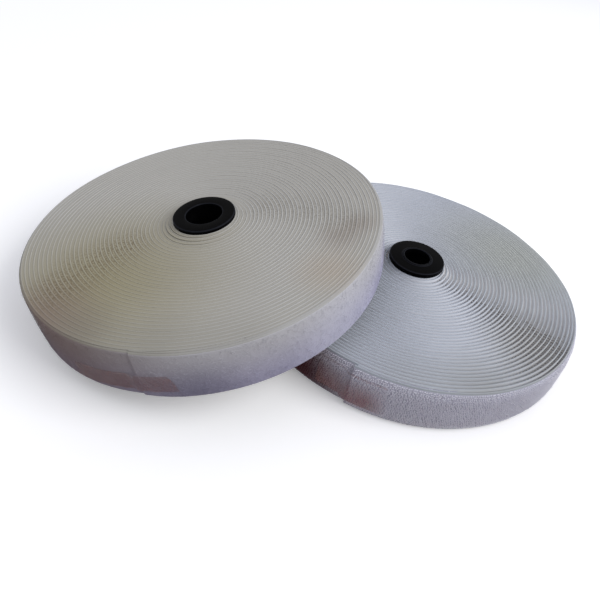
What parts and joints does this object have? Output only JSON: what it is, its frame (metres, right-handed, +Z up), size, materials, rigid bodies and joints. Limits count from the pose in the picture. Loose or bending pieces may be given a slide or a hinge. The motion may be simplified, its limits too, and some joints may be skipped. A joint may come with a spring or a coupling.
{
  "type": "hook and loop tape roll",
  "caption": "Matched pair of white hook and loop tape rolls on black plastic cores, the soft loop roll leaning on the flat hook roll, each cut end held by clear film.",
  "frame": {"origin": "on the surface that the pair stands on, under the middle of its box", "axes": "+Z up, along the axis of the flat hook roll; +X from the leaning loop roll to the hook roll; the cut ends are on the -Y side"},
  "size_m": [0.2804, 0.1774, 0.0656],
  "materials": {
    "core_plastic": "moulded black plastic, satin",
    "hook_tape": "woven nylon tape with cut monofilament hooks",
    "loop_tape": "woven nylon tape with brushed loop pile",
    "starter_adhesive": "double-sided adhesive strip",
    "clear_film": "clear adhesive film, glossy"
  },
  "bodies": {
    "hook_roll": {"hook_core_barrel": "core_plastic", "hook_core_cap_upper": "core_plastic", "hook_core_cap_lower": "core_plastic", "hook_starter_strip": "starter_adhesive", "hook_tape_winding": "hook_tape"},
    "hook_tail": {"hook_tape_end": "hook_tape", "hook_closing_film": "clear_film"},
    "loop_roll": {"loop_core_barrel": "core_plastic", "loop_core_cap_upper": "core_plastic", "loop_core_cap_lower": "core_plastic", "loop_starter_strip": "starter_adhesive", "loop_tape_winding": "loop_tape"},
    "loop_tail": {"loop_tape_end": "loop_tape", "loop_closing_film": "clear_film"}
  },
  "joints": [
    {"name": "loop_roll_lift", "type": "slide", "parent": "hook_roll", "child": "loop_roll", "axis": [0, 0, 1], "range_m": [0, 0.15]},
    {"name": "hook_tape_end_peel", "type": "hinge", "parent": "hook_roll", "child": "hook_tail", "pos_m": [0.04512, -0.08871, 0.0125], "axis": [0, 0, 1], "range_deg": [0, 60]},
    {"name": "loop_tape_end_peel", "type": "hinge", "parent": "loop_roll", "child": "loop_tail", "pos_m": [-0.04177, -0.08243, 0.03661], "axis": [-0.2489, 0, 0.9685], "range_deg": [0, 60]}
  ]
}
